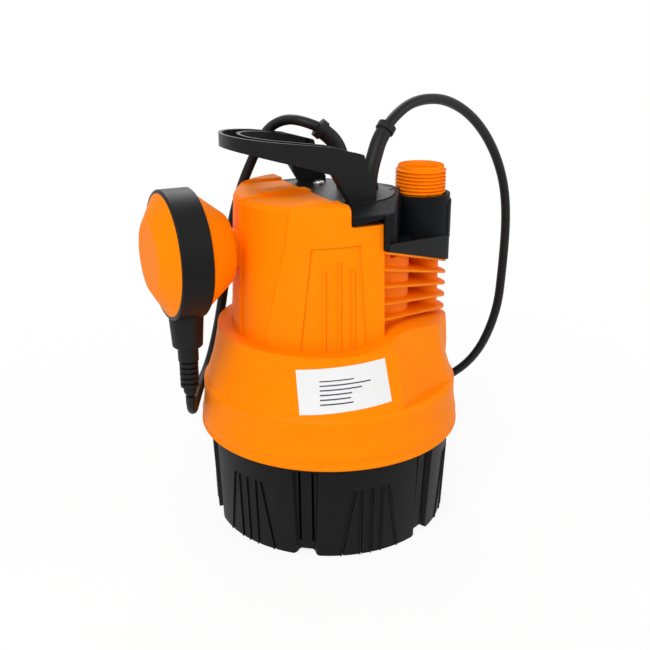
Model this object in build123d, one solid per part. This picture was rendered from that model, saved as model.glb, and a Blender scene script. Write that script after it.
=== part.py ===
from build123d import *
import math
import os

# Submersible sump pump with a side outlet and a float switch.
# Lengths in millimetres. Z is up, the origin is the body axis on the ground, +X is the outlet side.

# Clearances
seat_gap = 0.05
part_gap = 0.3
running_gap = 0.05

# Strainer base
skirt_top_radius = 80.4
foot_radius = skirt_top_radius - 2.7
skirt_inner_radius = foot_radius - 4.2
flange_low = 60.8
flange_high = 63.6
flange_radius = skirt_top_radius + 1.4
spigot_radius = skirt_top_radius - 1.8
spigot_high = 70.0
lobe_count = 6
first_groove_angle = -126.5
groove_width = 9.6
groove_depth = 2.6
groove_flare = 2.0
groove_top = flange_low - 0.8
slit_width = 1.4
arch_height = 3.2
arch_spread = 3.4
base_floor_low = 5.0
base_floor_high = 8.0
inlet_radius = 26.0
inlet_collar_radius = 29.0
inlet_collar_low = 1.6
rib_width = 0.8
rib_proud = 0.8
rib_top = 46.5
rib_groove_width = 0.8
rib_groove_depth = 1.2
rib_angles = (-5.1, 0.0, 5.1)
slant_angle = 11.0
slant_lean = 10.0

# Base screws
column_circle = skirt_inner_radius - 8.0
column_radius = 5.5
column_top = 62.0
column_angles = (45, 135, 225, 315)
base_screw_radius = 2.0
base_screw_head_radius = 4.0
base_screw_head_low = 2.2
base_screw_top = 82.0
lug_low = 70.3
lug_high = 86.0

# Lower housing
rim_low = 64.0
rim_high = 65.8
rim_radius = skirt_top_radius + 5.6
# How far the wall and the cavity lie inside the rim, with their levels
wall_insets = ((0.8, 67.2), (0.8, 68.6), (0.5, 72.0), (1.6, 78.0), (2.3, 84.0), (2.5, 94.0), (4.8, 97.0),
               (5.2, 99.0), (9.1, 111.0), (12.3, 126.0), (13.0, 132.0), (13.2, 146.0))
cavity_insets = ((8.4, 73.0), (5.7, 76.0), (5.8, 93.0), (8.2, 98.0), (12.4, 111.0), (15.6, 124.0))
shoulder_line = ((-101, 132.0), (-60, 132.0), (-30, 132.0), (-14, 133.0), (-4, 135.2), (6, 138.6),
                 (20, 140.2), (34, 138.2), (49, 134.8), (80, 126.6), (101, 121.2))
shell_wall = 3.0
flat_angle = 63.0
flat_low_reach = rim_radius - 9.7
flat_high_reach = rim_radius - 17.6

# Riser lobe on the lower housing, levels with the lobe's radius and its root's distance inside the rim
riser_x = rim_radius - 19.0
lobe_levels = ((86.0, 17.4, 9.0), (93.0, 21.6, 9.4), (106.0, 21.8, 14.0), (116.0, 21.2, 17.0),
               (127.0, 20.2, 19.0), (146.0, 17.6, 19.7))

# Upper housing
body_radius_low = 64.2
body_radius_high = body_radius_low - 3.2
body_low = 136.0
body_high = 214.0
cavity_radius_low = body_radius_low - 3.2
cavity_radius_high = body_radius_high - 2.8
cavity_high = 204.0
deck_high = 207.0
core_radius = body_radius_high - 9.8
pocket_cavity_radius = core_radius - 2.8
core_cut_low = 182.0
core_cut_angle = 33.1
core_cut_reach = 41.1
pocket_start_x = 6.0
pocket_half_width = body_radius_low - 10.2
pocket_web_half_width = 8.0
dome_front_x = -14.7
dome_insets = ((0.0, 214.0), (0.5, 216.8), (2.0, 218.3), (6.0, 219.8), (16.0, 222.4))
dome_top = 226.0
dome_low_line = ((-70, 216.6), (-45, 219.2), (dome_front_x, 219.0))
dome_high_line = ((-46, 219.8), (-30, 220.8), (dome_front_x, 218.8))
dome_plateau_edge = 19.0
panel_angle = 113.0
panel_depth = 0.9
panel_outline = ((-13.3, 194.3), (15.2, 196.2), (20.6, 120.0), (-21.6, 120.0))
panel_rib_angles = (118.4, 110.5, 103.0)
panel_rib_tops = (181.0, 186.4, 182.0)
panel_rib_width = 1.6
back_recess_depth = 0.8
back_outline = ((-41.5, 225.0), (-39.0, 193.0), (-26.8, 120.0), (26.8, 120.0), (39.0, 193.0), (41.5, 225.0))
spine_half_width = 5.0
holder_half_width = 4.6
holder_low = 176.0
holder_high = 198.0
holder_root = body_radius_high - 6.0
holder_reach = body_radius_low + 5.8
spine_low = 128.0

# Cooling fins between the body and the riser
fin_left_x = 6.0
fin_right_x = 84.5
fin_left_levels = (191.2, 180.9, 170.2, 159.6, 149.9)
fin_right_levels = (163.8, 155.6, 147.8, 139.7, 131.2)
fin_thickness = 1.5
fin_half_width = body_radius_low - 0.5
fin_round = 18.9

# Riser pipe with a G1 parallel thread
riser_outer = 13.8
riser_inner = 11.2
riser_low_x = column_circle - 6.5
riser_low_outer = 11.0
riser_low_inner = 9.0
riser_low = 34.1
riser_bend_low = 74.0
riser_bend_high = 95.0
thread_pitch = 2.309
thread_crest = 16.62
thread_root = 15.15
thread_low = 209.6
thread_turns = 7
outlet_bore = 13.0
outlet_mouth = 14.7
outlet_top = 228.0

# Top cover with the sleeve that wraps the riser
cover_front_x = -14.4
cover_radius = body_radius_high + 1.9
cover_inner_radius = body_radius_high + 0.75
cover_edge_high = 213.2
plate_radius = 41.2
cover_deck_radius = plate_radius + 1.2
cover_deck_high = 215.4
cover_roof_low = 211.4
cover_roof_edge = 209.6
cover_boss_high = 212.4
cover_boss_radius = 4.4
cover_cut_low = 150.0
cover_cut_high = 240.0
plate_low = 213.8
plate_high = 216.1
cover_edge_left = 207.9
cover_edge_right = 211.4
cover_cut_reach = core_cut_reach + 2.4
liner_thickness = 2.0
web_half_width = 7.0
sleeve_outer = 19.8
sleeve_inner = 17.0
sleeve_top = 209.4
adapter_room = thread_crest + 2.6
lip_left_low = 192.0
lip_right_low = 164.0
lip_left_high = 195.0
lip_right_high = 181.5
lip_left_x = 5.0
lip_right_x = 85.0
lip_half_width = body_radius_low - 0.2
lip_floor = 2.4
plaque_proud = 1.0
plaque_low = 180.5
plaque_high = 205.0
plaque_half_width = 17.0
post_width = 3.6
cable_window = (7.0, 38.0, -10.0, 13.0)

# Carry handle on its round plate
handle_half_width = 38.0
handle_inner_half_width = 25.6
handle_tip_x = -69.4
handle_inner_tip_x = -56.6
handle_wall = 2.2
handle_floor = 2.6
handle_cut_low = 199.0
handle_cut_high = 271.0
leg_inner_half_width = 31.6
handle_side = ((-76, 256.2), (-70, 255.4), (-60, 254.5), (-37, 252.2), (-16, 249.3), (4.4, 243.6),
               (13.0, 219.0), (13.0, 214.6), (-4.0, 214.6), (-5.2, 217.0), (-15, 232.8), (-36, 239.4),
               (-60, 245.6), (-76, 249.0))
cover_screw_x = 3.0
cover_screw_y = 21.8
cover_screw_radius = 1.5
cover_screw_head = 3.6
cover_screw_head_high = 218.6

# Float switch, its axis along X
float_inner_x = -holder_reach - 0.4
float_x = float_inner_x - 29.0
float_z = 187.0
float_radius = 36.6
float_end_radius = 21.4
float_outer_x = float_x - 18.4
float_wall = 2.2
band_outer = 38.8
band_width = 19.0
relief_x = float_inner_x - 26.6
relief_end_z = 101.5
relief_tip_z = 98.6
relief_tip_radius = 4.2
relief_collar_low = 128.2
relief_collar_radius = 9.4
relief_collar_flare = 1.6
relief_neck_radius = 6.4
relief_neck_low = 119.0
relief_rib_radius = 5.9
relief_rib_count = 5
relief_top_z = 157.0
ball_radius = 7.0
ball_low_z = 166.3
cage_x = float_inner_x - 23.8
cage_inner = 7.4
cage_outer = 9.0
cage_low = 164.0
cage_high = 204.0
switch_low = 157.8
switch_high = 164.0
switch_left_x = cage_x - 12.2
switch_right_x = cage_x + 9.2
lever_high = 166.0
lever_thickness = 0.9
lever_width = 4.6
lever_hinge_x = cage_x - 9.4
lever_tip_x = cage_x + 8.2

# Cables and their sleeves
power_cord_radius = 3.5
float_cable_radius = 3.25
power_sleeve_route = ((27.0, -1.5, 212.0), (28.8, -1.0, 227.0), (36.7, 3.0, 244.6), (44.4, 5.8, 253.4))
float_sleeve_route = ((15.0, 5.0, 212.0), (13.6, 5.6, 228.0), (8.6, 7.4, 245.0), (-2.7, 10.6, 254.6))
sleeve_radius = 5.1
sleeve_collar_radius = 6.2
sleeve_collar_length = 4.5
sleeve_foot_radius = 6.6
sleeve_foot_high = 219.0
power_cord_route = ((44.4, 5.8, 253.4), (56.5, 10.0, 263.2), (77.9, 17.8, 267.8), (104.2, 27.4, 264.8),
                    (132.4, 37.6, 251.0), (157.2, 46.8, 228.0), (174.6, 53.0, 199.0), (181.2, 55.4, 168.0),
                    (180.6, 55.6, 128.0), (180.0, 58.0, 90.0), (175.5, 76.0, 46.0), (165.0, 108.0, 14.0),
                    (150.0, 136.0, 6.6), (134.0, 160.0, 12.0))
float_cable_route = ((-2.7, 10.6, 254.6), (-11.0, 14.0, 258.4), (-17.6, 28.5, 258.4), (-23.0, 45.0, 250.5),
                     (-29.5, 51.0, 234.0), (-37.9, 53.2, 215.0), (-44.4, 54.8, 194.0), (-49.0, 55.0, 170.0),
                     (-52.4, 56.0, 146.0), (-55.0, 59.6, 124.0), (-58.0, 64.0, 104.0), (-63.6, 63.4, 87.0),
                     (-78.0, 41.0, 81.8), (relief_x + 8.0, 19.0, 79.6), (relief_x + 0.6, 1.4, 81.8),
                     (relief_x, 0.0, 94.3))
turn_share = 0.45
coil_x = 75.0
coil_y = 156.0
coil_mean_radius = 61.0
coil_half_width = 18.0
coil_height = 37.0
tie_width = 12.0
tie_thickness = 1.2

# Mains plug lying on top of the coil
plug_x = 129.0
plug_face_y = 171.0
plug_body_length = 38.0
plug_tail_length = 20.0
plug_pin_length = 19.0
plug_radius = 17.5
plug_back_radius = 9.0
plug_tail_radius = 4.6
plug_bite = 0.2
plug_pin_radius = 2.4
plug_pin_spacing = 19.0

# Pump chamber and impeller
plate_thickness = 3.0
chamber_outer = column_circle - 12.5
chamber_inner = chamber_outer - 3.0
chamber_low = 11.0
chamber_ceiling = 30.0
chamber_high = 33.0
eye_radius = 17.0
shaft_hole_radius = 8.0
duct_half_width = 8.0
duct_wall = 3.0
socket_radius = 13.6
socket_high = 46.0
shaft_radius = 5.0
shaft_low = 8.6
shaft_high = 168.0
impeller_radius = chamber_inner - 6.0
impeller_disc_low = 24.0
impeller_disc_high = 27.0
impeller_hub_radius = 9.5
impeller_low = 13.6
vane_count = 6
vane_thickness = 2.4
nut_low = 8.8
nut_high = 13.6
nut_across = 13.0

# Motor
oil_chamber_radius = 26.0
oil_chamber_wall = 3.0
bracket_low = 46.0
bracket_high = 50.0
can_outer = core_radius - 5.2
can_inner = can_outer - 1.8
bracket_radius = can_outer + 2.0
can_high = 178.0
can_top_thickness = 1.8
bearing_outer = 13.0
lower_bearing_low = 54.0
upper_bearing_low = 158.0
bearing_width = 8.0
stator_inner = can_inner - 19.6
stator_low = 80.0
stator_high = 140.0
rotor_radius = stator_inner - 0.6
rotor_low = 82.0
rotor_high = 138.0
slot_count = 12
slot_inner = stator_inner + 4.4
slot_outer = can_inner - 6.2
slot_width = 6.0
coil_head_low = 67.0
coil_head_high = 153.0
upper_bracket_low = 155.0
upper_bracket_high = 158.0
seal_outer = 14.0
seal_low = 33.2
seal_high = 41.0
capacitor_radius = 11.0
capacitor_length = 44.0
capacitor_y = 20.0
terminal_y = -24.0

# Rating label, a plain sheet
label_angle = 110.0
label_outline = ((-27.1, 124.2), (26.0, 129.4), (30.0, 103.4), (-25.6, 98.4))
label_thickness = 0.25


def point_at(radius, angle, level=0.0):
    turn = math.radians(angle)
    return (radius * math.cos(turn), radius * math.sin(turn), level)


def turned(profile, x=0.0, y=0.0):
    outline = Polyline(*[(radius, 0, level) for radius, level in profile], close=True)
    return Pos(x, y, 0) * revolve(make_face(outline), Axis.Z)


def disc(x, y, low, high, radius):
    return Pos(x, y, low) * Cylinder(radius, high - low, align=(Align.CENTER, Align.CENTER, Align.MIN))


def ring(x, y, low, high, outer, inner):
    return disc(x, y, low, high, outer) - disc(x, y, low - 1, high + 1, inner)


def block(x_low, x_high, y_low, y_high, z_low, z_high):
    size = (x_high - x_low, y_high - y_low, z_high - z_low)
    return Pos(x_low, y_low, z_low) * Box(*size, align=(Align.MIN, Align.MIN, Align.MIN))


def radial_block(angle, inner, outer, width, low, high):
    return Rot(0, 0, angle) * block(inner, outer, -width / 2, width / 2, low, high)


def across_y(points, half_width):
    # A solid with the same side view everywhere along Y.
    outline = Polyline(*[(x, 0, z) for x, z in points], close=True)
    return extrude(make_face(outline), amount=half_width, dir=(0, 1, 0), both=True)


def upright(face, low, high):
    return extrude(Pos(0, 0, low) * face, amount=high - low)


def side_prism(angle, points, reach=100.0):
    # A prism that runs outward from the axis at the angle, its outline given across and up.
    direction = point_at(1.0, angle)
    across = point_at(1.0, angle + 90)
    plane = Plane(origin=(0, 0, 0), x_dir=across, z_dir=direction)
    return extrude(plane * make_face(Polyline(*points, close=True)), amount=reach)


def hull_face(points, center_x, radius):
    # The taut outline around a circle on the X axis and two points mirrored across it.
    x, half = points
    distance = math.hypot(center_x - x, half)
    toward = math.atan2(half, center_x - x)
    lean = math.asin(radius / distance)
    reach = math.sqrt(distance * distance - radius * radius)
    touch_x = x + reach * math.cos(toward - lean)
    touch_y = half - reach * math.sin(toward - lean)
    outline = [
        Line((x, half), (touch_x, touch_y)),
        ThreePointArc((touch_x, touch_y), (center_x + radius, 0), (touch_x, -touch_y)),
        Line((touch_x, -touch_y), (x, -half)),
        Line((x, -half), (x, half)),
    ]
    return make_face(outline)


def circle_hull_face(wall_radius, lobe_radius):
    # The taut outline around the wall's circle and the lobe's circle.
    turn = math.acos((wall_radius - lobe_radius) / riser_x)
    wall_point = (wall_radius * math.cos(turn), wall_radius * math.sin(turn))
    lobe_point = (riser_x + lobe_radius * math.cos(turn), lobe_radius * math.sin(turn))
    outline = [
        Line(wall_point, lobe_point),
        ThreePointArc(lobe_point, (riser_x + lobe_radius, 0), (lobe_point[0], -lobe_point[1])),
        Line((lobe_point[0], -lobe_point[1]), (wall_point[0], -wall_point[1])),
        ThreePointArc((wall_point[0], -wall_point[1]), (-wall_radius, 0), wall_point),
    ]
    return make_face(outline)


def turn_radii(route):
    # Each bend takes a fixed share of the shorter run beside it.
    radii = []
    for before, here, after in zip(route, route[1:], route[2:]):
        first = Vector(*here) - Vector(*before)
        second = Vector(*after) - Vector(*here)
        half_turn = math.radians(first.get_angle(second)) / 2
        radii.append(turn_share * min(first.length, second.length) / math.tan(half_turn))
    return radii


def swept_rod(route, radius, label):
    radii = turn_radii(route)
    path = FilletPolyline(*route, radius=radii)
    start = Plane(origin=path @ 0, z_dir=path % 0)
    rod = sweep(start * Circle(radius), path=path)
    print(label, "bend radii", [round(value, 1) for value in radii])
    ratio = rod.volume / (math.pi * radius ** 2 * path.length)
    print(label, "length", round(path.length, 1), "volume ratio", round(ratio, 4))
    return rod


def rod_between(start, end, radius):
    run = Vector(*end) - Vector(*start)
    return Solid.make_cylinder(radius, run.length, Plane(origin=start, z_dir=run))


def save(name, shape):
    export_step(shape, "parts/" + name + ".step")
    print(name, "volume", round(shape.volume), "solids", len(shape.solids()))


def lobe_center_angles():
    step = 360.0 / lobe_count
    return [first_groove_angle + step * (index + 0.5) for index in range(lobe_count)]


def skirt_profile(proud=0.0):
    return [
        (skirt_inner_radius, 0), (foot_radius + proud, 0), (skirt_top_radius + proud, flange_low),
        (flange_radius, flange_low), (flange_radius, flange_high), (spigot_radius, flange_high),
        (spigot_radius, spigot_high), (skirt_inner_radius, spigot_high),
    ]


def rib_step_angle():
    # The angle from a rib to the fine groove beside it.
    return math.degrees((rib_width + rib_groove_width) / 2 / foot_radius)


def rib_bar(angle, lean, width):
    bar = Pos(80, 0, rib_top / 2) * Rot(lean, 0, 0) * Box(14, width, 2 * rib_top)
    return Rot(0, 0, angle) * bar


def make_strainer_base():
    base = turned(skirt_profile())
    ribs, rib_grooves = [], []
    for center in lobe_center_angles():
        for angle in rib_angles:
            ribs.append(rib_bar(center + angle, 0.0, rib_width))
            rib_grooves.append(rib_bar(center + angle + rib_step_angle(), 0.0, rib_groove_width))
        for side in (-1, 1):
            ribs.append(rib_bar(center + side * slant_angle, side * slant_lean, rib_width))
            groove_angle = center + side * slant_angle + rib_step_angle()
            rib_grooves.append(rib_bar(groove_angle, side * slant_lean, rib_groove_width))
    inside = skirt_inner_radius + 1.5
    limit = turned([
        (inside, 0), (foot_radius + rib_proud, 0),
        (skirt_top_radius + rib_proud - 0.6, rib_top), (inside, rib_top),
    ])
    groove_limit = turned([
        (foot_radius - rib_groove_depth, -1), (foot_radius + 17, -1),
        (foot_radius + 17, rib_top), (skirt_top_radius - 0.6 - rib_groove_depth, rib_top),
    ])
    for groove in rib_grooves:
        base = base - (groove & groove_limit)
    for rib in ribs:
        base = base + (rib & limit)
    step = 360.0 / lobe_count
    lean_depth = turned([
        (foot_radius - groove_depth, -1), (foot_radius + 17, -1),
        (foot_radius + 17, groove_top), (skirt_top_radius - groove_depth, groove_top),
    ])
    half = groove_width / 2
    plan = [(60, -half), (foot_radius - groove_depth, -half), (foot_radius + 17, -half - 7 * groove_flare),
            (foot_radius + 17, half + 7 * groove_flare), (foot_radius - groove_depth, half), (60, half)]
    arch = [
        (-half - arch_spread, -1), (half + arch_spread, -1), (half + arch_spread, 0.0),
        (half + 1.0, 1.4), (half - 1.2, arch_height), (1.2 - half, arch_height),
        (-half - 1.0, 1.4), (-half - arch_spread, 0.0),
    ]
    for index in range(lobe_count):
        angle = first_groove_angle + step * index
        hollow = upright(make_face(Polyline(*plan, close=True)), -1, groove_top)
        base = base - (Rot(0, 0, angle) * hollow & lean_depth)
        for side in (-1, 1):
            shift = side * (half - slit_width / 2)
            slit = block(skirt_inner_radius - 0.5, 90, shift - slit_width / 2, shift + slit_width / 2,
                         base_floor_high + 1.0, groove_top - 0.6)
            base = base - Rot(0, 0, angle) * slit
        base = base - (side_prism(angle, arch, 90) - disc(0, 0, -2, 6, 60))
    floor = disc(0, 0, base_floor_low, base_floor_high, skirt_inner_radius + 1)
    floor = floor + disc(0, 0, inlet_collar_low, base_floor_low + 1, inlet_collar_radius)
    floor = floor - disc(0, 0, 0, 20, inlet_radius)
    base = base + floor
    for angle in column_angles:
        x, y, _ = point_at(column_circle, angle)
        base = base + disc(x, y, base_floor_low, column_top, column_radius)
        base = base - disc(x, y, 0, column_top + 1, base_screw_radius + part_gap)
    ring_groove = ring(0, 0, 66.0, 68.6, spigot_radius + 1, spigot_radius - 1.9)
    return base - ring_groove


def make_base_screws():
    screws = []
    for angle in column_angles:
        x, y, _ = point_at(column_circle, angle)
        head = disc(x, y, base_screw_head_low, base_floor_low - seat_gap, base_screw_head_radius)
        head = head - block(x - 2.6, x + 2.6, y - 0.5, y + 0.5, 0, base_screw_head_low + 1.2)
        head = head - block(x - 0.5, x + 0.5, y - 2.6, y + 2.6, 0, base_screw_head_low + 1.2)
        screws.append(head + disc(x, y, base_screw_head_low + 1.5, base_screw_top, base_screw_radius))
    return Compound(children=[screw.solid() for screw in screws])


def make_base_ring():
    center = Pos(spigot_radius - 0.72, 0, 67.3) * Rot(90, 0, 0) * Circle(1.1)
    return revolve(center, Axis.Z)


def shoulder_limit():
    low = 40.0
    left, right = shoulder_line[0], shoulder_line[-1]
    top = Spline(*[(x, 0, z) for x, z in shoulder_line])
    edges = [
        top,
        Line((right[0], 0, right[1]), (right[0], 0, low)),
        Line((right[0], 0, low), (left[0], 0, low)),
        Line((left[0], 0, low), (left[0], 0, left[1])),
    ]
    return extrude(make_face(edges), amount=110, dir=(0, 1, 0), both=True)


def wall_outline():
    outline = [(rim_radius - 0.5, rim_low), (rim_radius, rim_low + 0.6), (rim_radius, rim_high)]
    return outline + [(rim_radius - inset, level) for inset, level in wall_insets]


def cavity_outline():
    return [(rim_radius - inset, level) for inset, level in cavity_insets]


def flat_wedge(side, inset=0.0):
    cut = [(flat_low_reach - inset, 97.0 - inset), (flat_high_reach - inset, 132.0),
           (flat_high_reach - 3.0 - inset, 146.5), (120, 146.5), (120, 97.0 - inset)]
    outline = make_face(Polyline(*[(x, 0, z) for x, z in cut], close=True))
    wedge = extrude(outline, amount=60, dir=(0, 1, 0), both=True)
    return Rot(0, 0, side * flat_angle) * wedge


def make_lower_solid():
    top = wall_insets[-1][1]
    limit = shoulder_limit()
    outer = turned([(0, rim_low)] + wall_outline() + [(0, top)]) & limit
    faces = []
    for level, lobe_radius, inset in lobe_levels:
        faces.append(Pos(0, 0, level) * circle_hull_face(rim_radius - inset, lobe_radius))
    lobe = loft(faces, ruled=True) & limit
    for side in (-1, 1):
        outer = outer - flat_wedge(side)
    return outer + lobe


def inside_cuts(reach, low, high):
    # Everything between the two upright planes in front of the riser.
    room = block(-120, 120, -120, 120, low, high)
    for side in (-1, 1):
        room = room - Rot(0, 0, side * core_cut_angle) * block(reach, 250, -250, 250, low - 1, high + 1)
    return room


def core_column(radius, reach, low, cut_low, high):
    column = disc(0, 0, low, cut_low, radius)
    return column + (disc(0, 0, cut_low - 0.5, high, radius) & inside_cuts(reach, cut_low - 0.5, high))


def make_fins():
    fins = []
    face = hull_face((fin_left_x, fin_half_width), riser_x, fin_round)
    column = upright(face, 110, 210)
    for left, right in zip(fin_left_levels, fin_right_levels):
        slope = (right - left) / (fin_right_x - fin_left_x)
        x_low, x_high = -20.0, 100.0
        z_low = left + slope * (x_low - fin_left_x)
        z_high = left + slope * (x_high - fin_left_x)
        outline = [(x_low, z_low), (x_high, z_high)]
        outline += [(x_high, z_high - fin_thickness), (x_low, z_low - fin_thickness)]
        slab = across_y(outline, fin_half_width + 16)
        fins.append(column & slab)
    return fins


def body_cone(offset=0.0):
    outline = [(0, 100), (body_radius_low + 1.0 + offset, 100), (body_radius_low + offset, body_low)]
    outline += [(body_radius_high - inset + offset, level) for inset, level in dome_insets]
    return turned(outline + [(0, dome_top)])


def body_skin(inset):
    # The body's outline from well below the shoulder to its top, moved inwards.
    return [(0, 80), (body_radius_low + 1.0 - inset, 80), (body_radius_low + 1.0 - inset, 100),
            (body_radius_low - inset, body_low), (body_radius_high - inset, body_high)]


def make_upper_solid():
    cone = body_cone()
    low_roof = across_y([(-75, 90)] + list(dome_low_line) + [(dome_front_x, 90)], 80)
    high_line = [(-46, 90)] + list(dome_high_line) + [(dome_front_x, 90)]
    high_roof = across_y(high_line, 80) & block(-80, 80, -80, dome_plateau_edge, 80, 240)
    front = block(dome_front_x, 90, -80, 80, 90, deck_high)
    body = cone & (low_roof + high_roof + front)
    recess = cone - turned(body_skin(panel_depth) + [(0, body_high)])
    shell = turned(body_skin(-0.4) + [(0, body_high)])
    for side in (-1, 1):
        outline = panel_outline if side < 0 else [(-across, level) for across, level in panel_outline]
        body = body - (side_prism(side * panel_angle, outline) & recess)
        for angle, top in zip(panel_rib_angles, panel_rib_tops):
            body = body + (radial_block(side * angle, 55, 75, panel_rib_width, 120, top) & shell)
    back_top = (body_radius_high - back_recess_depth - 1.6, body_high + 3.4)
    back_inner = turned(body_skin(back_recess_depth) + [back_top, (0, body_high + 3.4)])
    back = side_prism(180, back_outline) - back_inner
    back = back - block(-90, 0, -spine_half_width, spine_half_width, 100, dome_top + 4)
    body = body - back
    # The pocket between the body and the riser: core and a web in the middle stay
    pocket = block(pocket_start_x, 110, -90, 90, 120, dome_top + 4)
    web_half = pocket_web_half_width
    keep = block(pocket_start_x - 4, riser_x, -web_half, web_half, 110, fin_left_levels[0] + 0.8)
    slope = (fin_right_levels[0] - fin_left_levels[0]) / (fin_right_x - fin_left_x)
    roof_left = fin_left_levels[0] + slope * (0 - fin_left_x)
    roof_right = fin_left_levels[0] + slope * (100 - fin_left_x)
    keep = keep & across_y([(0, 90), (0, roof_left), (100, roof_right), (100, 90)], 90)
    core = core_column(core_radius, core_cut_reach, 90, core_cut_low, deck_high)
    return (body - pocket) + (keep + (core & block(0, 60, -60, 60, 90, 230)))


def make_outer_housing():
    housing = make_lower_solid() + make_upper_solid()
    for fin in make_fins():
        housing = housing + fin
    half = holder_half_width
    holder = block(-holder_reach, -holder_root, -half, half, holder_low, holder_high)
    housing = housing + holder
    # Spine from the shoulder to the holder
    spine = radial_block(180, holder_root, holder_reach + 2, 2 * spine_half_width, spine_low, body_high)
    housing = housing + (spine & turned(body_skin(-0.6) + [(0, body_high)]))
    back_cavity = turned([(0, 120), (cavity_radius_low, 120), (cavity_radius_low, body_low - 8),
                          (cavity_radius_high, cavity_high), (0, cavity_high)])
    back_cavity = back_cavity & block(-90, pocket_start_x - 4.0, -90, 90, 100, cavity_high + 20)
    inner_reach = core_cut_reach - 2.8
    front_cavity = core_column(pocket_cavity_radius, inner_reach, 100, core_cut_low - 3.0, cavity_high)
    low_outline = [(0, rim_low - 1), (spigot_radius + 0.4, rim_low - 1),
                   (spigot_radius + 0.4, spigot_high + seat_gap),
                   (spigot_radius - 1.2, spigot_high + seat_gap)]
    low_cavity = turned(low_outline + cavity_outline() + [(0, cavity_insets[-1][1])])
    for side in (-1, 1):
        low_cavity = low_cavity - flat_wedge(side, shell_wall)
    housing = housing - low_cavity - back_cavity - front_cavity
    lug_limit = turned([
        (column_circle - 5.5, lug_low), (rim_radius - 8.0, lug_low), (rim_radius - 4.5, lug_low + 5.7),
        (rim_radius - 4.5, lug_high), (column_circle - 5.5, lug_high),
    ])
    for angle in column_angles:
        lug = radial_block(angle, column_circle - 6.0, 90, 12.0, lug_low, lug_high) & lug_limit
        housing = housing + lug
        x, y, _ = point_at(column_circle, angle)
        housing = housing - disc(x, y, lug_low - 2, base_screw_top + 1.0, base_screw_radius + seat_gap)
    housing = housing - disc(riser_x, 0, 90, 225, riser_outer + seat_gap)
    return housing


def make_riser_pipe():
    thread = []
    for turn in range(thread_turns):
        low = thread_low + turn * thread_pitch
        thread += [(thread_root, low), (thread_crest, low + 0.75)]
        thread += [(thread_crest, low + 1.35), (thread_root, low + 2.1)]
    thread_top = thread_low + thread_turns * thread_pitch
    profile = [(riser_inner, riser_bend_high), (riser_outer, riser_bend_high)]
    profile += [(riser_outer, thread_low - 8.6), (thread_root, thread_low - 5.0)]
    profile += thread
    profile += [(thread_root, thread_top), (thread_root, outlet_top - 0.8), (thread_root - 0.45, outlet_top),
                (outlet_mouth, outlet_top), (outlet_bore, outlet_top - 3.0),
                (outlet_bore, outlet_top - 25.0), (riser_inner, outlet_top - 29.0)]
    upper = turned(profile, riser_x)
    foot, head = Pos(riser_low_x, 0, riser_bend_low), Pos(riser_x, 0, riser_bend_high)
    bend_outer = loft([foot * Circle(riser_low_outer), head * Circle(riser_outer - 0.6)])
    bend_inner = loft([foot * Circle(riser_low_inner), head * Circle(riser_inner)])
    lower = ring(riser_low_x, 0, riser_low, riser_bend_low, riser_low_outer, riser_low_inner)
    return upper + (bend_outer - bend_inner) + lower


def lip_wedge(low_shift=0.0):
    low_slope = (lip_right_low - lip_left_low) / (lip_right_x - lip_left_x)
    high_slope = (lip_right_high - lip_left_high) / (lip_right_x - lip_left_x)
    left, right = -5.0, 100.0
    points = [
        (left, lip_left_low + low_slope * (left - lip_left_x) + low_shift),
        (right, lip_left_low + low_slope * (right - lip_left_x) + low_shift),
        (right, lip_left_high + high_slope * (right - lip_left_x)),
        (left, lip_left_high + high_slope * (left - lip_left_x)),
    ]
    return across_y(points, 90)


def above_lip(shift=0.0):
    # Everything above the lip's lower edge, raised by the shift.
    slope = (lip_right_low - lip_left_low) / (lip_right_x - lip_left_x)
    left, right = -5.0, 100.0
    left_low = lip_left_low + slope * (left - lip_left_x) + shift
    right_low = lip_left_low + slope * (right - lip_left_x) + shift
    outline = [(left, left_low), (right, right_low), (right, cover_cut_high), (left, cover_cut_high)]
    return across_y(outline, 90)


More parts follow.
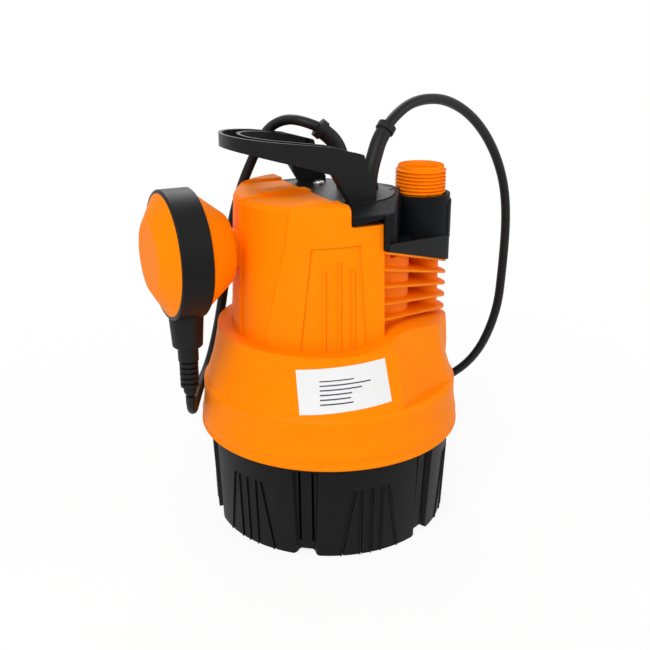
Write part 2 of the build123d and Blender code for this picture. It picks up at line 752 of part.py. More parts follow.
def make_top_cover():
    cap = turned([
        (0, cover_roof_low), (plate_radius - 1.2, cover_roof_low), (cover_radius - 6.9, cover_roof_edge),
        (cover_radius - 6.9, deck_high + seat_gap), (cover_inner_radius, deck_high + seat_gap),
        (cover_inner_radius, cover_edge_left - 1), (cover_radius, cover_edge_left - 1),
        (cover_radius, cover_edge_high - 0.6), (cover_radius - 0.8, cover_edge_high),
        (cover_deck_radius, cover_deck_high), (plate_radius + 0.2, cover_deck_high),
        (plate_radius + 0.2, plate_low - seat_gap), (0, plate_low - seat_gap),
    ])
    cap = cap & block(cover_front_x, 90, -90, 90, cover_cut_low, cover_cut_high)
    cap = cap - block(*cable_window, deck_high - 7, cover_deck_high + 5)
    below = [(-30, cover_cut_low), (-30, cover_edge_left - 1.4), (-14, cover_edge_left)]
    below += [(8, cover_edge_right), (90, cover_edge_right), (90, cover_cut_low)]
    cap = cap - across_y(below, 90)
    outer_room = block(lip_left_x + post_width, 120, -120, 120, cover_cut_low, cover_cut_high)
    cap = cap - (outer_room - inside_cuts(cover_cut_reach, cover_cut_low, cover_cut_high))
    outline = hull_face((lip_left_x, lip_half_width), riser_x, sleeve_outer + 0.7)
    column = upright(outline, cover_cut_low, sleeve_top - 0.4)
    lip = column & lip_wedge()
    inside = hull_face((lip_left_x + 4.0, lip_half_width - 3.6), riser_x, sleeve_outer - 1.6)
    lip_inside = upright(inside, cover_cut_low, sleeve_top - 0.4)
    lip = lip - (lip_inside & lip_wedge(lip_floor))
    web = block(lip_left_x, riser_x, -web_half_width, web_half_width, cover_cut_low, cover_edge_right - 0.5)
    # Liner around the front of the core
    liner_radius = core_radius + part_gap + liner_thickness
    liner_low = core_cut_low + part_gap + liner_thickness
    liner = core_column(liner_radius, cover_cut_reach, cover_cut_low, liner_low, cover_edge_right - 0.5)
    sleeve = disc(riser_x, 0, cover_cut_low, sleeve_top, sleeve_outer)
    plaque_plan = disc(riser_x, 0, cover_cut_low, sleeve_top, sleeve_outer + plaque_proud)
    plaque_window = Pos(riser_x + 20, 0, (plaque_low + plaque_high) / 2) * Rot(0, 90, 0) * extrude(
        RectangleRounded(plaque_high - plaque_low, 2 * plaque_half_width, 3.0), amount=18, both=True)
    plaque = plaque_plan & plaque_window
    post_limit = disc(0, 0, cover_cut_low, cover_cut_high, lip_half_width)
    post_right, half = lip_left_x + post_width, lip_half_width
    posts = block(lip_left_x, post_right, -half, half, lip_left_low - 7, cover_edge_high - 0.7)
    posts = posts & post_limit
    posts = posts - disc(0, 0, cover_edge_right - 0.5, cover_cut_high, cover_radius - 4.0)
    bracket = (web + liner + sleeve + plaque + posts) & above_lip()
    bracket = bracket + lip
    core_room = core_column(core_radius + part_gap, core_cut_reach + part_gap, cover_cut_low,
                            core_cut_low + part_gap, deck_high + seat_gap)
    bracket = bracket - core_room
    body_limit = body_cone(part_gap) - block(pocket_start_x + part_gap, 110, -90, 90, 60, cover_cut_high)
    bracket = bracket - body_limit
    bracket = bracket - block(-30, lip_left_x, -90, 90, cover_cut_low, cover_cut_high)
    cover = cap + bracket
    for side in (-1, 1):
        y = side * cover_screw_y
        cover = cover + disc(cover_screw_x, y, deck_high + seat_gap, cover_boss_high, cover_boss_radius)
        cover = cover - disc(cover_screw_x, y, deck_high - 7, cover_cut_high, cover_screw_radius + seat_gap)
    # Room for a hose adapter above the sleeve
    cover = cover - disc(riser_x, 0, sleeve_top, cover_cut_high, adapter_room)
    return cover - disc(riser_x, 0, cover_cut_low, cover_cut_high, sleeve_inner)


def capsule_face(half_width, tip_x, end_x=30.0):
    center_x = tip_x + half_width
    outline = [
        Line((end_x, -half_width), (end_x, half_width)),
        Line((end_x, half_width), (center_x, half_width)),
        ThreePointArc((center_x, half_width), (tip_x, 0), (center_x, -half_width)),
        Line((center_x, -half_width), (end_x, -half_width)),
    ]
    return make_face(outline)


def make_carry_handle():
    side = across_y(handle_side, 40)
    loop = upright(capsule_face(handle_half_width, handle_tip_x), handle_cut_low, handle_cut_high)
    inner = capsule_face(handle_inner_half_width, handle_inner_tip_x)
    loop = loop - upright(inner, handle_cut_low - 1, handle_cut_high + 1)
    leg_gap = block(-4.0, 30, -leg_inner_half_width, leg_inner_half_width, handle_cut_low, handle_cut_high)
    rail_line = [(-16, handle_cut_low), (-16, 232.4), (20, 238.0), (20, handle_cut_low)]
    under_rail = across_y(rail_line, leg_inner_half_width)
    handle = (side & loop) - leg_gap - under_rail
    trough_plan = capsule_face(handle_half_width - handle_wall, handle_tip_x + handle_wall, 1.0)
    trough = upright(trough_plan, handle_cut_low, handle_cut_high)
    core_plan = capsule_face(handle_inner_half_width + handle_wall, handle_inner_tip_x - handle_wall, 40.0)
    trough = trough - upright(core_plan, handle_cut_low - 1, handle_cut_high + 1)
    floor_line = [(-80, 249.8 + handle_floor), (-60, 245.6 + handle_floor), (-36, 239.4 + handle_floor)]
    floor_line += [(-15, 232.8 + handle_floor), (2, 229.6 + handle_floor)]
    floor_line += [(2, handle_cut_high), (-80, handle_cut_high)]
    handle = handle - (trough & across_y(floor_line, 40))
    plate = disc(0, 0, plate_low, plate_high, plate_radius)
    handle = handle + (plate & block(cover_front_x, 90, -60, 60, plate_low - 10, plate_high + 10))
    for sign in (-1, 1):
        y = sign * cover_screw_y
        hole_radius = cover_screw_radius + part_gap
        handle = handle - disc(cover_screw_x, y, handle_cut_low, plate_high + 1, hole_radius)
    for route in (power_sleeve_route, float_sleeve_route):
        x, y = route[0][0], route[0][1]
        handle = handle - disc(x, y, plate_low - 8, plate_high + seat_gap, sleeve_radius + 0.8)
    handle = handle - disc(riser_x, 0, handle_cut_low, handle_cut_high, sleeve_inner + 10.4)
    notch = block(36.0, 39.5, -14.5, -11.5, plate_high - 1.2, plate_high + 1)
    return handle - notch


def make_cover_screws():
    screws = []
    for sign in (-1, 1):
        y = sign * cover_screw_y
        head = disc(cover_screw_x, y, plate_high + seat_gap, cover_screw_head_high, cover_screw_head)
        head = fillet(head.edges().group_by(Axis.Z)[-1], 1.2)
        for long_x, long_y in ((2.2, 0.45), (0.45, 2.2)):
            slot = Box(2 * long_x, 2 * long_y, 4.0, align=(Align.CENTER, Align.CENTER, Align.MIN))
            head = head - Pos(cover_screw_x, y, plate_high + 1.4) * slot
        screws.append(head + disc(cover_screw_x, y, deck_high + 0.4, plate_high + 0.8, cover_screw_radius))
    return Compound(children=[screw.solid() for screw in screws])


def make_cable_sleeve(route, label):
    sleeve = swept_rod(route, sleeve_radius, label)
    foot_x, foot_y = route[0][0], route[0][1]
    sleeve = sleeve + disc(foot_x, foot_y, plate_high + seat_gap, sleeve_foot_high, sleeve_foot_radius)
    run = Vector(*route[-1]) - Vector(*route[-2])
    back = Vector(*route[-1]) - run.normalized() * sleeve_collar_length
    return sleeve + rod_between(tuple(back), route[-1], sleeve_collar_radius)


def make_cord_coil():
    section = RectangleRounded(2 * coil_half_width, coil_height, 9.0)
    outline = Pos(coil_mean_radius, 0, coil_height / 2 + 0.1) * Rot(90, 0, 0) * section
    return Pos(coil_x, coil_y, 0) * revolve(outline, Axis.Z)


def make_coil_ties():
    ties = []
    for angle in (90, 270):
        x, y, _ = point_at(coil_mean_radius, angle)
        outer = Pos(coil_x + x, coil_y + y, coil_height / 2 + 0.1) * Rot(0, 90, 0)
        size_z, size_y = coil_height, 2 * coil_half_width
        outside = RectangleRounded(size_z + 0.4, size_y + 2 * tie_thickness + 0.4, 9.0)
        band = extrude(outside, amount=tie_width / 2, both=True)
        hole = extrude(RectangleRounded(size_z - 1.2, size_y - 0.6, 8.6), amount=tie_width, both=True)
        ties.append(outer * (band - hole))
    coil = make_cord_coil()
    reach = coil_mean_radius + 2 * coil_half_width
    room = block(coil_x - reach, coil_x + reach, coil_y - reach, coil_y + reach, 0.05, 2 * coil_height)
    lifted = [(tie & room) - coil for tie in ties]
    return Compound(children=[solid for tie in lifted for solid in tie.solids()])


def make_mains_plug():
    # The plug tips back until the rims of its face and its tail both rest on the coil.
    tilt = math.asin((plug_radius - plug_back_radius) / plug_body_length)
    face_z = coil_height + 0.1 + plug_radius * math.cos(tilt) - plug_bite

    def along(distance, across=0.0):
        return (plug_x + across, plug_face_y + distance * math.cos(tilt), face_z + distance * math.sin(tilt))

    back = Plane(origin=along(-plug_body_length), z_dir=(0, math.cos(tilt), math.sin(tilt)))
    plug = Solid.make_cone(plug_back_radius, plug_radius, plug_body_length, back)
    tail_start = along(-plug_body_length - plug_tail_length)
    plug = plug + rod_between(tail_start, along(1 - plug_body_length), plug_tail_radius)
    for sign in (-1, 1):
        across = sign * plug_pin_spacing / 2
        plug = plug + rod_between(along(-1, across), along(plug_pin_length, across), plug_pin_radius)
    return plug


def along_x(shape):
    # Turns a solid built about Z into one about the float's axis.
    return Pos(0, 0, float_z) * Rot(0, 90, 0) * shape


def float_outline(shrink, middle, end):
    edge = float_x - band_width / 2 if end < float_x else float_x + band_width / 2
    inward = shrink if end < float_x else -shrink
    return [(0, middle), (float_radius - shrink, middle), (float_radius - shrink, edge),
            (float_end_radius - shrink * 0.6, end + inward), (0, end + inward)]


def make_float_shell(end):
    middle = float_x + (0.05 if end > float_x else -0.05)
    outer = turned(float_outline(0.0, middle, end))
    rim = outer.edges().filter_by(GeomType.CIRCLE).filter_by(lambda edge: abs(edge.center().Z - end) < 0.1)
    outer = fillet(rim, 2.4)
    shell = along_x(outer - turned(float_outline(float_wall, middle, end)))
    return shell - disc(relief_x, 0, 140, relief_top_z + 2, relief_neck_radius + seat_gap)


def make_float_band():
    half = band_width / 2
    band = turned([
        (float_radius + seat_gap, float_x - half), (band_outer - 0.8, float_x - half),
        (band_outer, float_x - half + 0.8), (band_outer, float_x + half - 0.8),
        (band_outer - 0.8, float_x + half), (float_radius + seat_gap, float_x + half),
    ])
    return along_x(band) - disc(relief_x, 0, 140, relief_top_z, relief_neck_radius + seat_gap)


def make_float_relief():
    top_radius = relief_collar_radius + relief_collar_flare
    relief = turned([
        (0, relief_collar_low), (relief_collar_radius - 0.8, relief_collar_low),
        (relief_collar_radius, relief_collar_low + 0.8), (top_radius, 152), (0, 152),
    ], relief_x)
    relief = relief - along_x(disc(0, 0, float_x - 30, float_x + 30, band_outer + seat_gap))
    relief = relief + disc(relief_x, 0, relief_neck_low, relief_top_z - 0.2, relief_neck_radius)
    relief = relief + disc(relief_x, 0, relief_tip_z, relief_neck_low + 1, relief_tip_radius)
    relief = relief + Pos(relief_x, 0, relief_tip_z) * Sphere(relief_tip_radius)
    pitch = (relief_neck_low - relief_end_z) / relief_rib_count
    for index in range(relief_rib_count):
        low = relief_end_z + index * pitch
        relief = relief + disc(relief_x, 0, low, low + pitch * 0.62, relief_rib_radius)
    return relief


def make_float_switch():
    body = block(switch_left_x, switch_right_x, -5.5, 5.5, switch_low, switch_high)
    for side in (-1, 1):
        y = side * 4.0
        ear = block(lever_hinge_x - 1.6, lever_hinge_x + 0.2, y - 1.2, y + 1.2, switch_high, lever_high + 1.4)
        body = body + ear
    return body


def make_float_lever():
    half = lever_width / 2
    lever = block(lever_hinge_x, lever_tip_x, -half, half, lever_high - lever_thickness, lever_high)
    level = lever_high - 0.45
    return lever + rod_between((lever_hinge_x, -2.5, level), (lever_hinge_x, 2.5, level), 0.8)


def make_ball_cage():
    cage = ring(cage_x, 0, cage_low + seat_gap, cage_high, cage_outer, cage_inner)
    half = lever_width / 2 + 0.6
    cage = cage - block(cage_x - 12, cage_x + 12, -half, half, cage_low - 1, cage_low + 5.6)
    return cage + disc(cage_x, 0, cage_high - 1.5, cage_high, cage_outer)


def make_ball():
    return Pos(cage_x, 0, ball_low_z + ball_radius) * Sphere(ball_radius)


def make_suction_plate():
    plate = disc(0, 0, base_floor_high, chamber_low - seat_gap, chamber_outer)
    return plate - disc(0, 0, 0, 20, eye_radius)


def make_pump_chamber():
    chamber = disc(0, 0, chamber_low, chamber_high, chamber_outer)
    duct_top = chamber_ceiling
    outer_half = duct_half_width + duct_wall
    chamber = chamber + block(20, riser_low_x, -outer_half, outer_half, chamber_low, duct_top)
    chamber = chamber + disc(riser_low_x, 0, chamber_low, socket_high, socket_radius)
    chamber = chamber - disc(0, 0, chamber_low - 1, chamber_ceiling, chamber_inner)
    low, high = chamber_low + duct_wall, duct_top - duct_wall
    chamber = chamber - block(30, riser_low_x, -duct_half_width, duct_half_width, low, high)
    chamber = chamber - disc(riser_low_x, 0, chamber_low + duct_wall, socket_high + 1, riser_low_inner)
    socket_low = riser_low - seat_gap
    chamber = chamber - disc(riser_low_x, 0, socket_low, socket_high + 1, riser_low_outer + seat_gap)
    return chamber - disc(0, 0, 0, 60, shaft_hole_radius)


def make_impeller():
    impeller = disc(0, 0, impeller_disc_low, impeller_disc_high, impeller_radius)
    impeller = impeller + disc(0, 0, impeller_low, impeller_disc_high, impeller_hub_radius)
    for index in range(vane_count):
        arc = ThreePointArc(point_at(8.5, 0), point_at(27.0, 22), point_at(impeller_radius - 0.6, 62))
        height = impeller_disc_low + 0.5 - impeller_low
        vane = extrude(Pos(0, 0, impeller_low) * trace(arc, vane_thickness), amount=height)
        impeller = impeller + Rot(0, 0, index * 360 / vane_count) * vane
    impeller = impeller & disc(0, 0, impeller_low, impeller_disc_high, impeller_radius)
    return impeller - disc(0, 0, 0, 60, shaft_radius)


def make_impeller_nut():
    hexagon = RegularPolygon(nut_across / 2, 6, major_radius=False)
    nut = extrude(Pos(0, 0, nut_low) * hexagon, amount=nut_high - nut_low)
    return nut - disc(0, 0, 0, 60, shaft_radius)


def make_oil_chamber():
    cup = disc(0, 0, chamber_high + seat_gap, bracket_low - seat_gap, oil_chamber_radius)
    inside = oil_chamber_radius - oil_chamber_wall
    cup = cup - disc(0, 0, chamber_high + oil_chamber_wall, bracket_low + 1, inside)
    return cup - disc(0, 0, 30, 60, seal_outer + seat_gap)


def make_shaft_seal():
    return ring(0, 0, seal_low, seal_high, seal_outer, shaft_radius + running_gap)


def make_bearing(low):
    outer = ring(0, 0, low, low + bearing_width, bearing_outer, shaft_radius + running_gap)
    for level in (low - 1, low + bearing_width - 0.8):
        outer = outer - ring(0, 0, level, level + 1.8, 11.0, 7.6)
    return outer


def make_lower_bracket():
    plate = disc(0, 0, bracket_low, bracket_high, bracket_radius)
    plate = plate + disc(0, 0, bracket_high - 1, lower_bearing_low, can_inner - 0.1)
    plate = plate + disc(0, 0, bracket_high - 1, lower_bearing_low + bearing_width, bearing_outer + 4)
    plate = plate - disc(0, 0, lower_bearing_low - seat_gap, 80, bearing_outer + seat_gap)
    return plate - disc(0, 0, 30, 80, shaft_hole_radius)


def make_upper_bracket():
    plate = disc(0, 0, upper_bracket_low, upper_bracket_high, can_inner - 0.1)
    plate = plate + disc(0, 0, upper_bracket_low, upper_bearing_low + bearing_width, bearing_outer + 4)
    plate = plate - disc(0, 0, upper_bearing_low - seat_gap, 180, bearing_outer + seat_gap)
    return plate - disc(0, 0, 100, 180, shaft_hole_radius)


def make_motor_can():
    can = disc(0, 0, bracket_high + seat_gap, can_high, can_outer)
    return can - disc(0, 0, bracket_high - 1, can_high - can_top_thickness, can_inner)


def slot_cutters(width, inner, outer, low, high):
    step = 360 / slot_count
    return [radial_block(index * step, inner, outer, width, low, high) for index in range(slot_count)]


def make_stator_core():
    core = ring(0, 0, stator_low, stator_high, can_inner - 0.1, stator_inner)
    inner, outer = slot_inner - 0.1, slot_outer + 0.1
    for cutter in slot_cutters(slot_width + 0.1, inner, outer, stator_low - 1, stator_high + 1):
        core = core - cutter
    return core


def make_stator_windings():
    windings = ring(0, 0, stator_high + 0.5, coil_head_high, slot_outer + 2, slot_inner - 2)
    windings = windings + ring(0, 0, coil_head_low, stator_low - 0.5, slot_outer + 2, slot_inner - 2)
    for bar in slot_cutters(slot_width, slot_inner, slot_outer, stator_low - 2, stator_high + 2):
        windings = windings + bar
    return windings


def make_shaft():
    return disc(0, 0, shaft_low, shaft_high, shaft_radius)


def make_rotor_core():
    core = ring(0, 0, rotor_low, rotor_high, rotor_radius, shaft_radius)
    core = core + ring(0, 0, rotor_low - 4, rotor_low, rotor_radius - 1, rotor_radius - 7)
    return core + ring(0, 0, rotor_high, rotor_high + 4, rotor_radius - 1, rotor_radius - 7)


def make_capacitor():
    half = capacitor_length / 2
    z = can_high + capacitor_radius + seat_gap
    return rod_between((-half, capacitor_y, z), (half, capacitor_y, z), capacitor_radius)


def make_terminal_block():
    base = block(-16, 16, terminal_y - 8, terminal_y + 8, can_high + seat_gap, can_high + 12)
    for x in (-10, 0, 10):
        base = base - disc(x, terminal_y, can_high + 6, can_high + 20, 2.2)
    return base


def make_rating_label():
    skin = [(radius + label_thickness + 0.02, level) for radius, level in wall_outline()]
    limit = turned([(0, 60)] + skin + [(0, 146)])
    inside = turned([(0, 60)] + [(radius + 0.02, level) for radius, level in wall_outline()] + [(0, 146)])
    sheet = side_prism(-label_angle, label_outline) & limit
    return sheet - inside


def main():
    os.makedirs("parts", exist_ok=True)
    save("strainer_base", make_strainer_base())
    save("base_screws", make_base_screws())
    save("base_seal_ring", make_base_ring())
    save("outer_housing", make_outer_housing())
    save("riser_pipe", make_riser_pipe())
    save("top_cover", make_top_cover())
    save("carry_handle", make_carry_handle())
    save("cover_screws", make_cover_screws())
    save("power_cable_sleeve", make_cable_sleeve(power_sleeve_route, "power sleeve"))
    save("float_cable_sleeve", make_cable_sleeve(float_sleeve_route, "float sleeve"))
    save("power_cord", swept_rod(power_cord_route, power_cord_radius, "power cord"))
    save("float_cable", swept_rod(float_cable_route, float_cable_radius, "float cable"))
    save("cord_coil", make_cord_coil())
    save("coil_ties", make_coil_ties())
    save("mains_plug", make_mains_plug())
    save("float_shell_outer", make_float_shell(float_outer_x))
    save("float_shell_inner", make_float_shell(float_inner_x))
    save("float_band", make_float_band())
    save("float_relief", make_float_relief())
    save("float_microswitch", make_float_switch())
    save("float_lever", make_float_lever())
    save("float_ball_cage", make_ball_cage())
    save("float_ball", make_ball())
    save("suction_plate", make_suction_plate())
    save("pump_chamber", make_pump_chamber())
    save("impeller", make_impeller())
    save("impeller_nut", make_impeller_nut())
    save("oil_chamber", make_oil_chamber())
    save("shaft_seal", make_shaft_seal())
    save("lower_bracket", make_lower_bracket())
    save("lower_bearing", make_bearing(lower_bearing_low))
    save("upper_bracket", make_upper_bracket())
    save("upper_bearing", make_bearing(upper_bearing_low))
    save("motor_can", make_motor_can())
    save("stator_core", make_stator_core())
    save("stator_windings", make_stator_windings())
    save("motor_shaft", make_shaft())
    save("rotor_core", make_rotor_core())
    save("capacitor", make_capacitor())
    save("terminal_block", make_terminal_block())
    save("rating_label", make_rating_label())


main()
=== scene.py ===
import math
import bmesh
import bpy
from mathutils import Matrix, Vector


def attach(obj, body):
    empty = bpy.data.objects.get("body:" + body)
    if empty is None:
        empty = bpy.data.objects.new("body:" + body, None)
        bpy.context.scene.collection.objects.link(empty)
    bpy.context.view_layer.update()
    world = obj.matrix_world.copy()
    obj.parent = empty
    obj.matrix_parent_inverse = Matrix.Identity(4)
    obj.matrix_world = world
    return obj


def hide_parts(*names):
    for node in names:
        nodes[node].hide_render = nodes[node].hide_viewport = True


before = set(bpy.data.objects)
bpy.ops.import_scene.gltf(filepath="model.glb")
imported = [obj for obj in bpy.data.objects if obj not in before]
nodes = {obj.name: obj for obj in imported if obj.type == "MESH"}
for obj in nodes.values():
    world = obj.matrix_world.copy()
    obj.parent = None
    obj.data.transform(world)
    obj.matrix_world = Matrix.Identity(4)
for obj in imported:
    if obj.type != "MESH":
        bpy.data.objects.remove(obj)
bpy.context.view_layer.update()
print("frame loaded:", len(nodes), "parts")


# Camera
cameraSettings = {
    "place": (-0.2458, -0.5039, 0.3289),
    "pitch": 70.14,   # degrees from straight down
    "turn": -26.0,
    "lens": 49.85,
    "shiftAcross": -0.0062,
}


def addCamera(settings):
    data = bpy.data.cameras.new("camera")
    data.lens = settings["lens"]
    data.sensor_width = 36.0
    data.shift_x = settings["shiftAcross"]
    data.clip_start = 0.01
    data.clip_end = 50.0
    camera = bpy.data.objects.new("camera", data)
    camera.location = settings["place"]
    camera.rotation_euler = (math.radians(settings["pitch"]), 0.0, math.radians(settings["turn"]))
    bpy.context.scene.collection.objects.link(camera)
    bpy.context.scene.camera = camera
    return camera


addCamera(cameraSettings)
print("camera placed")


# Shader groups shared by the materials
def newGroup(name, inputs, outputs):
    group = bpy.data.node_groups.new(name, "ShaderNodeTree")
    for socketName, kind, value in inputs:
        socket = group.interface.new_socket(name=socketName, in_out="INPUT", socket_type=kind)
        socket.default_value = value
    for socketName, kind in outputs:
        group.interface.new_socket(name=socketName, in_out="OUTPUT", socket_type=kind)
    return group


def addNode(tree, kind, **values):
    node = tree.nodes.new(kind)
    for name, value in values.items():
        setattr(node, name, value)
    return node


def mathNode(tree, operation, first, second=None, clamp=False):
    node = addNode(tree, "ShaderNodeMath", operation=operation, use_clamp=clamp)
    for index, value in enumerate((first, second)):
        if value is None:
            continue
        if isinstance(value, (int, float)):
            node.inputs[index].default_value = value
        else:
            tree.links.new(value, node.inputs[index])
    return node.outputs[0]


def blendColour(tree, mask, first, second):
    node = addNode(tree, "ShaderNodeMix", data_type="RGBA")
    tree.links.new(mask, node.inputs[0])
    for index, value in ((6, first), (7, second)):
        if isinstance(value, tuple):
            node.inputs[index].default_value = value
        else:
            tree.links.new(value, node.inputs[index])
    return node.outputs[2]


def buildMouldedSkin():
    # Slow drift of tone, fine mould grain and a roughness that varies with the drift.
    group = newGroup("mouldedSkin", [
        ("Colour", "NodeSocketColor", (0.5, 0.5, 0.5, 1.0)),
        ("Second Colour", "NodeSocketColor", (0.4, 0.4, 0.4, 1.0)),
        ("Drift Size", "NodeSocketFloat", 14.0),
        ("Drift", "NodeSocketFloat", 0.25),
        ("Grain Size", "NodeSocketFloat", 1500.0),
        ("Smooth", "NodeSocketFloat", 0.3),
        ("Rough", "NodeSocketFloat", 0.4),
    ], [("Colour", "NodeSocketColor"), ("Roughness", "NodeSocketFloat"), ("Height", "NodeSocketFloat")])
    start, out = addNode(group, "NodeGroupInput"), addNode(group, "NodeGroupOutput")
    place = addNode(group, "ShaderNodeTexCoord")
    drift = addNode(group, "ShaderNodeTexNoise")
    drift.inputs["Detail"].default_value = 3.0
    drift.inputs["Roughness"].default_value = 0.55
    group.links.new(place.outputs["Object"], drift.inputs["Vector"])
    group.links.new(start.outputs["Drift Size"], drift.inputs["Scale"])
    grain = addNode(group, "ShaderNodeTexNoise")
    grain.inputs["Detail"].default_value = 2.0
    group.links.new(place.outputs["Object"], grain.inputs["Vector"])
    group.links.new(start.outputs["Grain Size"], grain.inputs["Scale"])
    mask = mathNode(group, "MULTIPLY", drift.outputs[0], start.outputs["Drift"], clamp=True)
    colour = blendColour(group, mask, start.outputs["Colour"], start.outputs["Second Colour"])
    group.links.new(colour, out.inputs["Colour"])
    span = mathNode(group, "SUBTRACT", start.outputs["Rough"], start.outputs["Smooth"])
    share = mathNode(group, "MULTIPLY", drift.outputs[0], span)
    rough = mathNode(group, "ADD", start.outputs["Smooth"], share)
    group.links.new(rough, out.inputs["Roughness"])
    group.links.new(grain.outputs[0], out.inputs["Height"])
    return group


def buildScuffs():
    # Faint handling marks: long thin noise that lifts the roughness and pales the colour a little.
    group = newGroup("scuffs", [
        ("Colour", "NodeSocketColor", (0.5, 0.5, 0.5, 1.0)),
        ("Mark Colour", "NodeSocketColor", (0.6, 0.6, 0.6, 1.0)),
        ("Amount", "NodeSocketFloat", 0.2),
        ("Roughness", "NodeSocketFloat", 0.4),
    ], [("Colour", "NodeSocketColor"), ("Roughness", "NodeSocketFloat")])
    start, out = addNode(group, "NodeGroupInput"), addNode(group, "NodeGroupOutput")
    place = addNode(group, "ShaderNodeTexCoord")
    stretch = addNode(group, "ShaderNodeMapping")
    stretch.inputs["Scale"].default_value = (320.0, 210.0, 24.0)
    stretch.inputs["Rotation"].default_value = (0.4, 0.7, 0.2)
    group.links.new(place.outputs["Object"], stretch.inputs["Vector"])
    lines = addNode(group, "ShaderNodeTexNoise")
    lines.inputs["Scale"].default_value = 1.0
    lines.inputs["Detail"].default_value = 2.0
    group.links.new(stretch.outputs[0], lines.inputs["Vector"])
    patches = addNode(group, "ShaderNodeTexNoise")
    patches.inputs["Scale"].default_value = 26.0
    group.links.new(place.outputs["Object"], patches.inputs["Vector"])
    thin = mathNode(group, "GREATER_THAN", lines.outputs[0], 0.66)
    where = mathNode(group, "MULTIPLY", thin, patches.outputs[0])
    mask = mathNode(group, "MULTIPLY", where, start.outputs["Amount"], clamp=True)
    colour = blendColour(group, mask, start.outputs["Colour"], start.outputs["Mark Colour"])
    group.links.new(colour, out.inputs["Colour"])
    rough = mathNode(group, "ADD", start.outputs["Roughness"], mathNode(group, "MULTIPLY", mask, 0.6), clamp=True)
    group.links.new(rough, out.inputs["Roughness"])
    return group


def buildTurnedMetal():
    # Lathe rings and stains for machined and stamped metal.
    group = newGroup("turnedMetal", [
        ("Colour", "NodeSocketColor", (0.6, 0.6, 0.6, 1.0)),
        ("Stain Colour", "NodeSocketColor", (0.4, 0.38, 0.36, 1.0)),
        ("Stain", "NodeSocketFloat", 0.4),
        ("Ring Size", "NodeSocketFloat", 900.0),
        ("Smooth", "NodeSocketFloat", 0.25),
        ("Rough", "NodeSocketFloat", 0.45),
    ], [("Colour", "NodeSocketColor"), ("Roughness", "NodeSocketFloat"), ("Height", "NodeSocketFloat")])
    start, out = addNode(group, "NodeGroupInput"), addNode(group, "NodeGroupOutput")
    place = addNode(group, "ShaderNodeTexCoord")
    rings = addNode(group, "ShaderNodeTexWave", wave_type="RINGS", rings_direction="Z")
    rings.inputs["Distortion"].default_value = 1.2
    group.links.new(place.outputs["Object"], rings.inputs["Vector"])
    group.links.new(start.outputs["Ring Size"], rings.inputs["Scale"])
    stain = addNode(group, "ShaderNodeTexNoise")
    stain.inputs["Scale"].default_value = 60.0
    stain.inputs["Detail"].default_value = 4.0
    group.links.new(place.outputs["Object"], stain.inputs["Vector"])
    mask = mathNode(group, "MULTIPLY", stain.outputs[0], start.outputs["Stain"], clamp=True)
    colour = blendColour(group, mask, start.outputs["Colour"], start.outputs["Stain Colour"])
    group.links.new(colour, out.inputs["Colour"])
    span = mathNode(group, "SUBTRACT", start.outputs["Rough"], start.outputs["Smooth"])
    rough = mathNode(group, "ADD", start.outputs["Smooth"], mathNode(group, "MULTIPLY", stain.outputs[0], span))
    group.links.new(rough, out.inputs["Roughness"])
    group.links.new(rings.outputs[1], out.inputs["Height"])
    return group


mouldedSkin = buildMouldedSkin()
scuffs = buildScuffs()
turnedMetal = buildTurnedMetal()
print("shader groups built")


# Materials
def colourOf(hexText):
    # A written sRGB colour as linear numbers.
    parts = [int(hexText[at:at + 2], 16) / 255.0 for at in (0, 2, 4)]
    linear = [value / 12.92 if value <= 0.04045 else ((value + 0.055) / 1.055) ** 2.4 for value in parts]
    return (linear[0], linear[1], linear[2], 1.0)


def newMaterial(name, **constants):
    material = bpy.data.materials.new(name)
    material.use_nodes = True
    tree = material.node_tree
    shader = tree.nodes["Principled BSDF"]
    for socket, value in constants.items():
        shader.inputs[socket.replace("_", " ")].default_value = value
    return material, tree, shader


def joinBump(tree, shader, height, strength, distance, edge):
    # Moulded edges are rounded a little before the grain is laid on them.
    rounded = addNode(tree, "ShaderNodeBevel", samples=4)
    rounded.inputs["Radius"].default_value = edge
    bump = addNode(tree, "ShaderNodeBump")
    tree.links.new(rounded.outputs[0], bump.inputs["Normal"])
    bump.inputs["Strength"].default_value = strength
    bump.inputs["Distance"].default_value = distance
    tree.links.new(height, bump.inputs["Height"])
    tree.links.new(bump.outputs[0], shader.inputs["Normal"])
    return bump


# What a plastic has where its own values don't say; lengths in metres
skinDefaults = {
    "driftShare": 0.5, "driftSize": 14.0, "grain": 1500.0, "markShare": 0.15, "grainDepth": 0.0002, "edge": 0.0005,
}


def mouldedPlastic(name, values, **constants):
    material, tree, shader = newMaterial(name, **constants)
    skin = addNode(tree, "ShaderNodeGroup", node_tree=mouldedSkin)
    skin.inputs["Colour"].default_value = colourOf(values["colour"])
    skin.inputs["Second Colour"].default_value = colourOf(values["drift"])
    skin.inputs["Drift"].default_value = skinDefaults["driftShare"]
    skin.inputs["Drift Size"].default_value = skinDefaults["driftSize"]
    skin.inputs["Grain Size"].default_value = values.get("grain", skinDefaults["grain"])
    skin.inputs["Smooth"].default_value = values["roughness"][0]
    skin.inputs["Rough"].default_value = values["roughness"][1]
    marks = addNode(tree, "ShaderNodeGroup", node_tree=scuffs)
    marks.inputs["Mark Colour"].default_value = colourOf(values.get("mark", values["drift"]))
    marks.inputs["Amount"].default_value = values.get("markShare", skinDefaults["markShare"])
    tree.links.new(skin.outputs["Colour"], marks.inputs["Colour"])
    tree.links.new(skin.outputs["Roughness"], marks.inputs["Roughness"])
    tree.links.new(marks.outputs["Colour"], shader.inputs["Base Color"])
    tree.links.new(marks.outputs["Roughness"], shader.inputs["Roughness"])
    joinBump(tree, shader, skin.outputs["Height"], values["bump"], skinDefaults["grainDepth"],
             values.get("edge", skinDefaults["edge"]))
    return material


